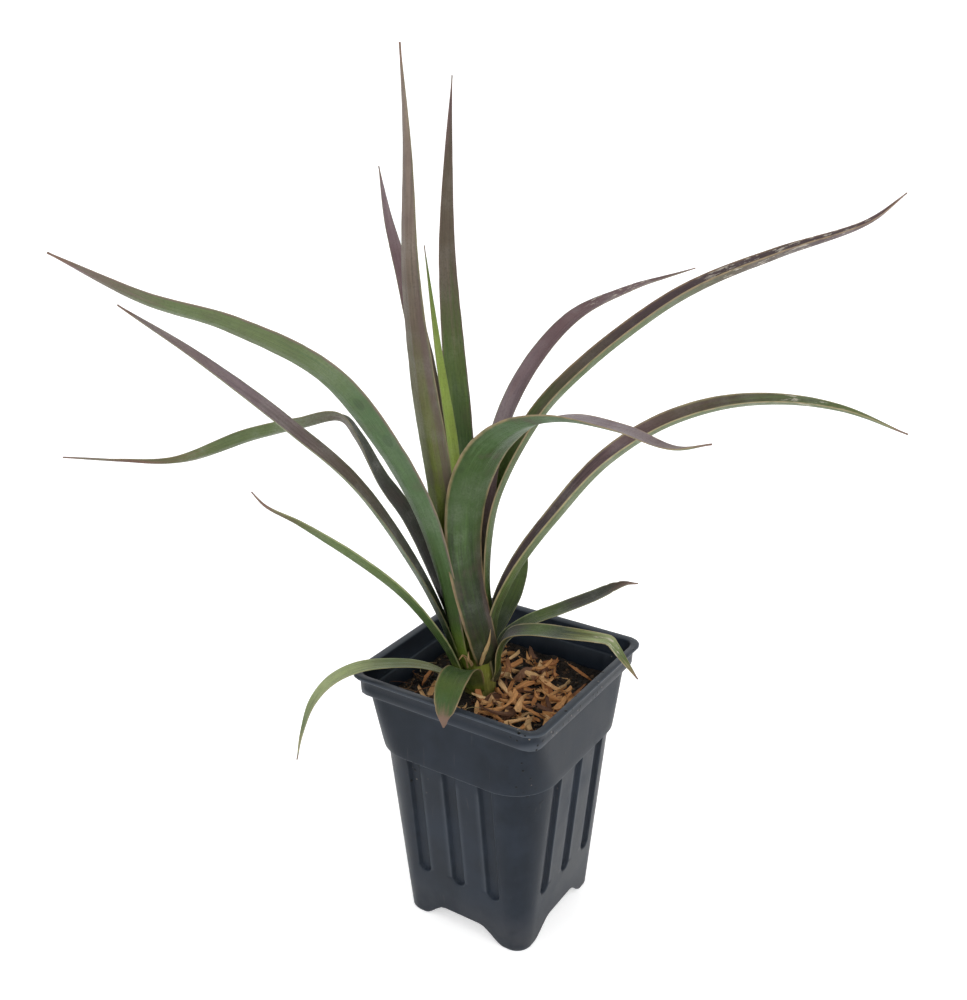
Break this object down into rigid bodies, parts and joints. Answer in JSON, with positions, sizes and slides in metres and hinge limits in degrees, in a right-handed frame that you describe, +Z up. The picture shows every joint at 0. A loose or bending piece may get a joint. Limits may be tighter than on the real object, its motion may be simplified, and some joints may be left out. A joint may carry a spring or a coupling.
{
  "type": "potted yucca",
  "caption": "Young yucca with long channelled green and purple leaves, growing in soil topped with bark shreds in a square plastic nursery pot.",
  "frame": {"origin": "on the ground at the middle of the whole plant's outline, which is the middle of the pot's base", "axes": "+Z up along the stem; the pot's four faces look along X and Y; the widest spread of leaves runs between -X-Y and +X+Y"},
  "size_m": [0.308, 0.2889, 0.399],
  "materials": {
    "pot_plastic": "satin charcoal moulded plastic",
    "soil": "dark moist potting mix",
    "stem_skin": "smooth yellow-green skin",
    "leaf": "waxy leaf, green below and purple-brown above",
    "bark": "dry torn bark shreds"
  },
  "bodies": {
    "root": {"nursery_pot": "pot_plastic", "potting_soil": "soil", "stem": "stem_skin", "leaf_tall_left": "leaf", "leaf_tall_right": "leaf", "leaf_young_spear": "leaf", "leaf_behind_left": "leaf", "leaf_long_left_arch": "leaf", "leaf_mid_left": "leaf", "leaf_folded_left": "leaf", "leaf_low_left": "leaf", "leaf_drooping_left": "leaf", "leaf_short_front": "leaf", "leaf_kinked_right": "leaf", "leaf_small_right": "leaf", "leaf_broad_front": "leaf", "leaf_long_right": "leaf", "leaf_upper_right": "leaf", "leaf_purple_right": "leaf", "leaf_short_back": "leaf", "bark_chip_01": "bark", "bark_chip_02": "bark", "bark_chip_03": "bark", "bark_chip_04": "bark", "bark_chip_05": "bark", "bark_chip_06": "bark", "bark_chip_07": "bark", "bark_chip_08": "bark", "bark_chip_09": "bark", "bark_chip_10": "bark", "bark_chip_11": "bark", "bark_chip_12": "bark", "bark_chip_13": "bark", "bark_chip_14": "bark"}
  },
  "joints": []
}
